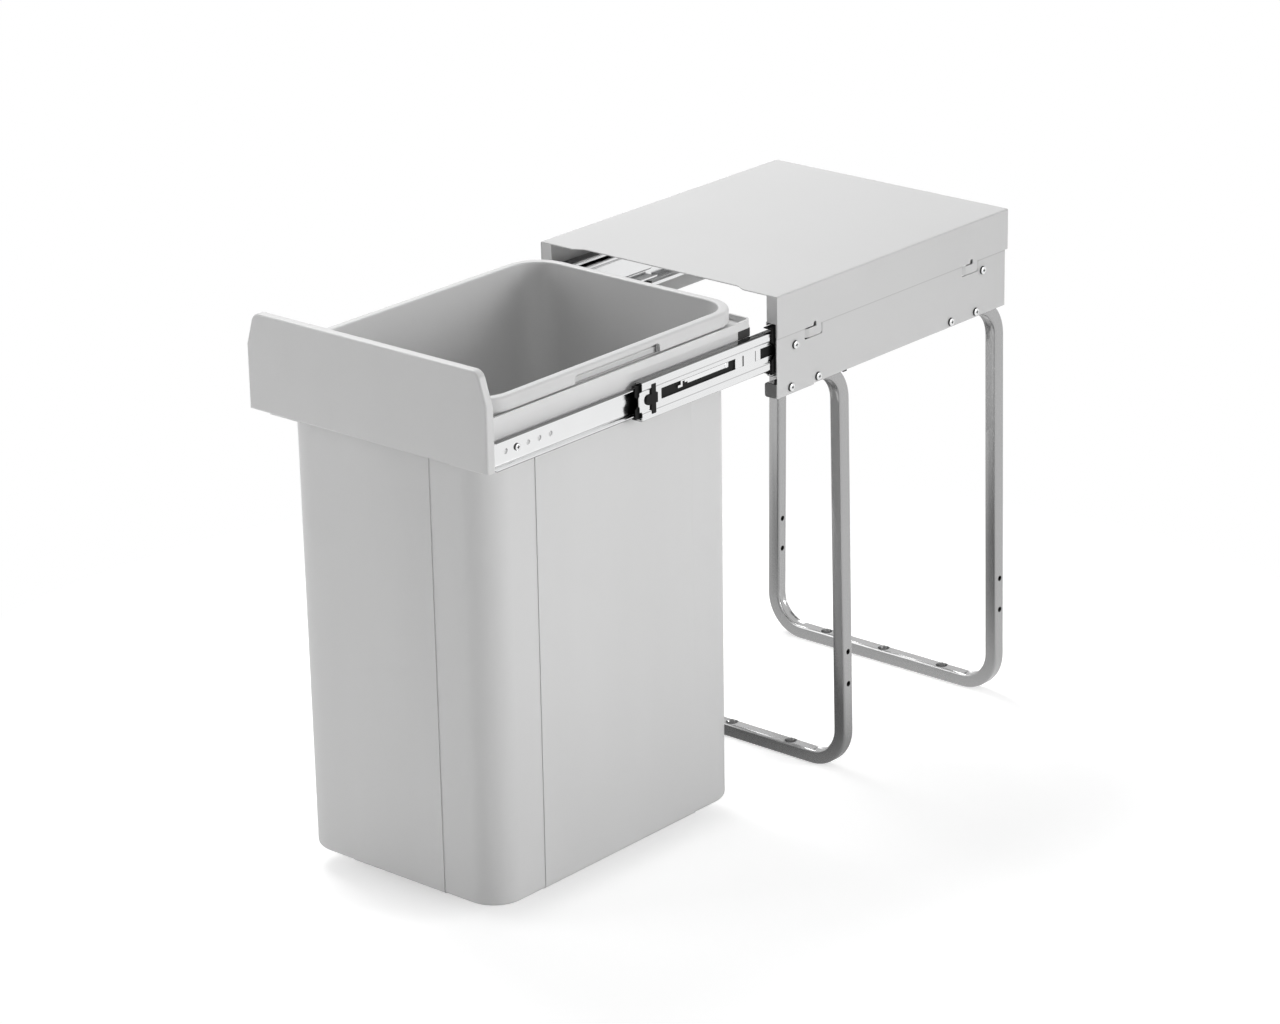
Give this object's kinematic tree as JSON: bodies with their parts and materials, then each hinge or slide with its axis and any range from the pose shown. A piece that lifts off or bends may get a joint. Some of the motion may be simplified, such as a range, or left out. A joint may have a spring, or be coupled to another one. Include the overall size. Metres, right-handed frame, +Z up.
{
  "type": "pull-out waste bin",
  "caption": "Pull-out waste bin for a base cabinet: sheet-steel housing on bent tube legs, tray on full-extension ball slides, lift-out plastic bin.",
  "frame": {"origin": "centre of the rectangle of four floor-screw holes, at the underside of the leg frames, on the cabinet floor", "axes": "+Z up, +Y towards the cabinet's back, +X to the right seen from the front; the tray pulls out towards -Y"},
  "size_m": [0.2568, 0.655, 0.47],
  "materials": {
    "cover_paint": "fine matt powder coat, light silver grey",
    "tube_paint": "smooth powder coat, silver grey",
    "slide_zinc": "bright zinc-plated cold-rolled strip",
    "ball_steel": "polished bearing steel",
    "screw_zinc": "bright zinc-plated",
    "grey_plastic": "satin moulded polypropylene, light grey",
    "dark_plastic": "moulded, black",
    "plug_plastic": "moulded, dark grey"
  },
  "bodies": {
    "housing": {"side_panel_left": "cover_paint", "side_panel_right": "cover_paint", "leg_frame_front": "tube_paint", "leg_frame_rear": "tube_paint", "tube_end_plugs": "plug_plastic", "panel_edge_clips": "dark_plastic", "slide_screws": "screw_zinc", "leg_screws": "screw_zinc", "slide_outer_left": "slide_zinc", "slide_outer_right": "slide_zinc", "slide_end_stop_left": "dark_plastic", "slide_end_stop_right": "dark_plastic"},
    "cover": {"cover": "cover_paint"},
    "tray": {"tray_frame": "grey_plastic", "front_panel": "grey_plastic", "tray_rail_pads": "dark_plastic", "tray_screws": "screw_zinc", "front_panel_screws": "screw_zinc", "slide_drawer_left": "slide_zinc", "slide_drawer_right": "slide_zinc"},
    "bin": {"bin": "grey_plastic"},
    "slide_middle_left": {"slide_middle_left": "slide_zinc", "slide_front_insert_left": "dark_plastic", "slide_catch_pin_left": "slide_zinc"},
    "slide_catch_left": {"slide_catch_left": "slide_zinc"},
    "outer_cage_left": {"outer_cage_left": "dark_plastic", "outer_balls_left": "ball_steel"},
    "inner_cage_left": {"inner_cage_left": "dark_plastic", "inner_balls_left": "ball_steel"},
    "slide_middle_right": {"slide_middle_right": "slide_zinc", "slide_front_insert_right": "dark_plastic", "slide_catch_pin_right": "slide_zinc"},
    "slide_catch_right": {"slide_catch_right": "slide_zinc"},
    "outer_cage_right": {"outer_cage_right": "dark_plastic", "outer_balls_right": "ball_steel"},
    "inner_cage_right": {"inner_cage_right": "dark_plastic", "inner_balls_right": "ball_steel"}
  },
  "joints": [
    {"name": "tray_slide", "type": "slide", "parent": "housing", "child": "tray", "axis": [0, -1, 0], "range_m": [-0.326, 0]},
    {"name": "bin_lift", "type": "slide", "parent": "tray", "child": "bin", "axis": [0, 0, 1], "range_m": [0, 0.43]},
    {"name": "cover_slide", "type": "slide", "parent": "housing", "child": "cover", "axis": [0, 1, 0], "range_m": [0, 0.0036]},
    {"name": "middle_slide_left", "type": "slide", "parent": "housing", "child": "slide_middle_left", "axis": [0, -1, 0], "range_m": [-0.163, 0]},
    {"name": "outer_cage_roll_left", "type": "slide", "parent": "housing", "child": "outer_cage_left", "axis": [0, -1, 0], "range_m": [-0.0815, 0]},
    {"name": "inner_cage_roll_left", "type": "slide", "parent": "housing", "child": "inner_cage_left", "axis": [0, -1, 0], "range_m": [-0.2445, 0]},
    {"name": "catch_pivot_left", "type": "hinge", "parent": "slide_middle_left", "child": "slide_catch_left", "pos_m": [-0.1203, -0.2541, 0.4001], "axis": [1, 0, 0], "range_deg": [0, 1.5], "stiffness_Nm_per_rad": 0.3, "springref_deg": -5.73},
    {"name": "middle_slide_right", "type": "slide", "parent": "housing", "child": "slide_middle_right", "axis": [0, -1, 0], "range_m": [-0.163, 0]},
    {"name": "outer_cage_roll_right", "type": "slide", "parent": "housing", "child": "outer_cage_right", "axis": [0, -1, 0], "range_m": [-0.0815, 0]},
    {"name": "inner_cage_roll_right", "type": "slide", "parent": "housing", "child": "inner_cage_right", "axis": [0, -1, 0], "range_m": [-0.2445, 0]},
    {"name": "catch_pivot_right", "type": "hinge", "parent": "slide_middle_right", "child": "slide_catch_right", "pos_m": [0.1203, -0.2541, 0.4001], "axis": [1, 0, 0], "range_deg": [0, 1.5], "stiffness_Nm_per_rad": 0.3, "springref_deg": -5.73}
  ],
  "couplings": [
    {"joint": "middle_slide_left", "follows": "tray_slide", "ratio": 0.5},
    {"joint": "outer_cage_roll_left", "follows": "tray_slide", "ratio": 0.25},
    {"joint": "inner_cage_roll_left", "follows": "tray_slide", "ratio": 0.75},
    {"joint": "middle_slide_right", "follows": "tray_slide", "ratio": 0.5},
    {"joint": "outer_cage_roll_right", "follows": "tray_slide", "ratio": 0.25},
    {"joint": "inner_cage_roll_right", "follows": "tray_slide", "ratio": 0.75}
  ]
}
